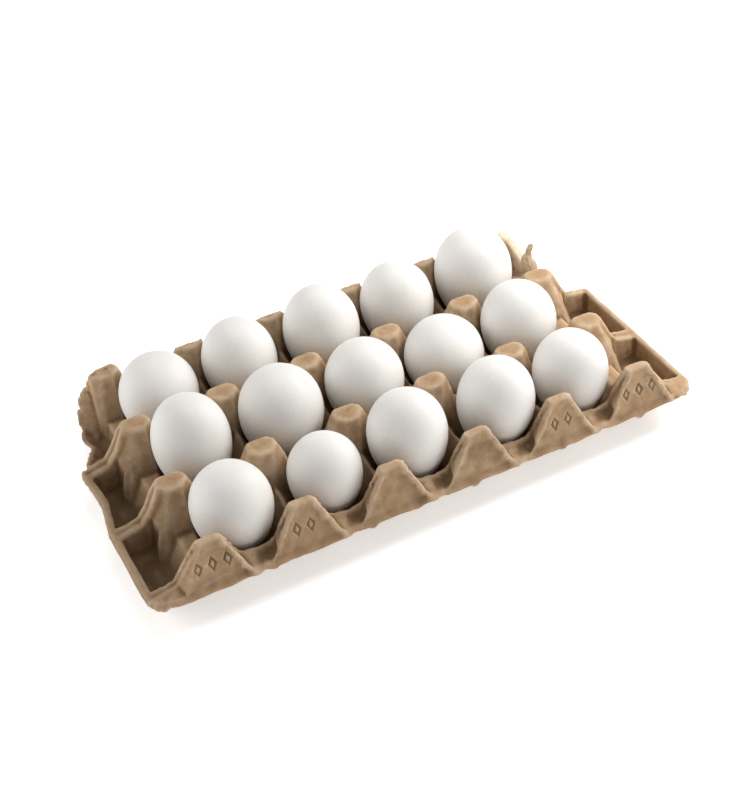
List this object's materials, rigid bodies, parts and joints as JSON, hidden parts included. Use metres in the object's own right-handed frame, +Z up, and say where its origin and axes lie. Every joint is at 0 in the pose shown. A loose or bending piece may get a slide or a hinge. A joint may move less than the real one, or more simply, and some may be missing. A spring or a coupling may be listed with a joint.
{
  "type": "egg tray with eggs",
  "caption": "Half of a moulded pulp egg flat, cut across behind its back row of cups, with a white egg standing in each cup.",
  "frame": {"origin": "under the middle of the tray's box, at the height of the surface it stands on", "axes": "+Z up, +X along the row of cups to the right, +Y from the moulded front edge to the cut back edge"},
  "size_m": [0.303, 0.1528, 0.063],
  "materials": {
    "pulp": "matt moulded paper pulp, undyed brown",
    "egg_shell": "natural white egg shell, fine pores, silk matt"
  },
  "bodies": {
    "root": {"tray": "pulp", "egg_1a": "egg_shell", "egg_1b": "egg_shell", "egg_1c": "egg_shell", "egg_1d": "egg_shell", "egg_1e": "egg_shell", "egg_2a": "egg_shell", "egg_2b": "egg_shell", "egg_2c": "egg_shell", "egg_2d": "egg_shell", "egg_2e": "egg_shell", "egg_3a": "egg_shell", "egg_3b": "egg_shell", "egg_3c": "egg_shell", "egg_3d": "egg_shell", "egg_3e": "egg_shell"}
  },
  "joints": []
}
